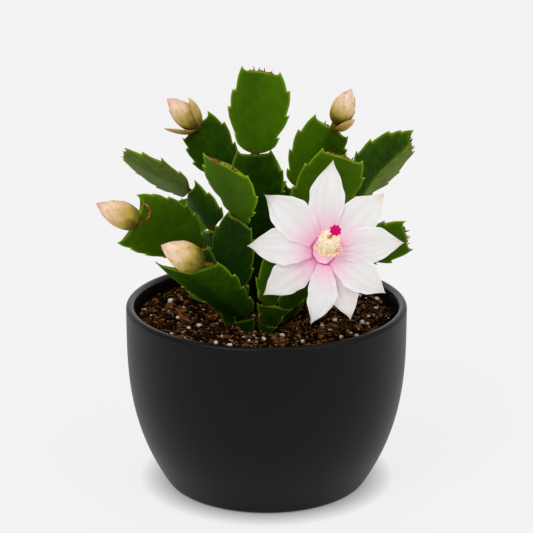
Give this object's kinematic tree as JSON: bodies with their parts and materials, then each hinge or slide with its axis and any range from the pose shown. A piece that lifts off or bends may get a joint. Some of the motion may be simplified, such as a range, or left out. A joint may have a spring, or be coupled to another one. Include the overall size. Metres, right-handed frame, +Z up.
{
  "type": "potted thanksgiving cactus",
  "caption": "Flat-jointed holiday cactus in a round dark pot of soil, with notched leaf-like stem segments, pointed buds and a wide-open white flower.",
  "frame": {"origin": "centre of the pot's flat base, on the surface that it stands on", "axes": "+Z up, -Y the front of the plant, where the flower looks, +X to the right seen from the front"},
  "size_m": [0.1535, 0.1418, 0.2121],
  "materials": {
    "pot_body": "satin",
    "growing_mix": "loose crumbs",
    "stem_green": "waxy",
    "bud_skin": "satin",
    "petals": "satin",
    "stamens": "matte",
    "stigma": "satin"
  },
  "bodies": {
    "root": {"pot": "pot_body", "soil": "growing_mix", "front_left_segment_1": "stem_green", "front_left_segment_2": "stem_green", "front_middle_segment_1": "stem_green", "front_middle_segment_2": "stem_green", "front_middle_segment_3": "stem_green", "centre_segment_1": "stem_green", "centre_segment_2": "stem_green", "centre_segment_3": "stem_green", "tall_left_segment_1": "stem_green", "tall_left_segment_2": "stem_green", "tall_left_segment_3": "stem_green", "left_segment_1": "stem_green", "left_upper_segment_1": "stem_green", "left_upper_segment_2": "stem_green", "left_upper_segment_3": "stem_green", "left_segment_2": "stem_green", "left_segment_3": "stem_green", "front_right_segment_1": "stem_green", "front_right_segment_2": "stem_green", "front_right_segment_3": "stem_green", "front_right_segment_4": "stem_green", "flower_segment": "stem_green", "tall_right_segment_1": "stem_green", "tall_right_segment_2": "stem_green", "tall_right_segment_3": "stem_green", "far_right_segment_1": "stem_green", "far_right_lower_segment_2": "stem_green", "far_right_upper_segment_2": "stem_green", "far_right_upper_segment_3": "stem_green", "back_middle_segment_1": "stem_green", "back_middle_segment_2": "stem_green", "back_right_segment_1": "stem_green", "back_right_segment_2": "stem_green", "back_left_segment_1": "stem_green", "back_left_segment_2": "stem_green", "back_side_segment_1": "stem_green", "upper_left_bud": "bud_skin", "upper_right_bud": "bud_skin", "left_bud": "bud_skin", "lower_left_bud": "bud_skin", "flower_corolla": "petals", "flower_stamens": "stamens", "flower_pistil": "stigma"}
  },
  "joints": []
}
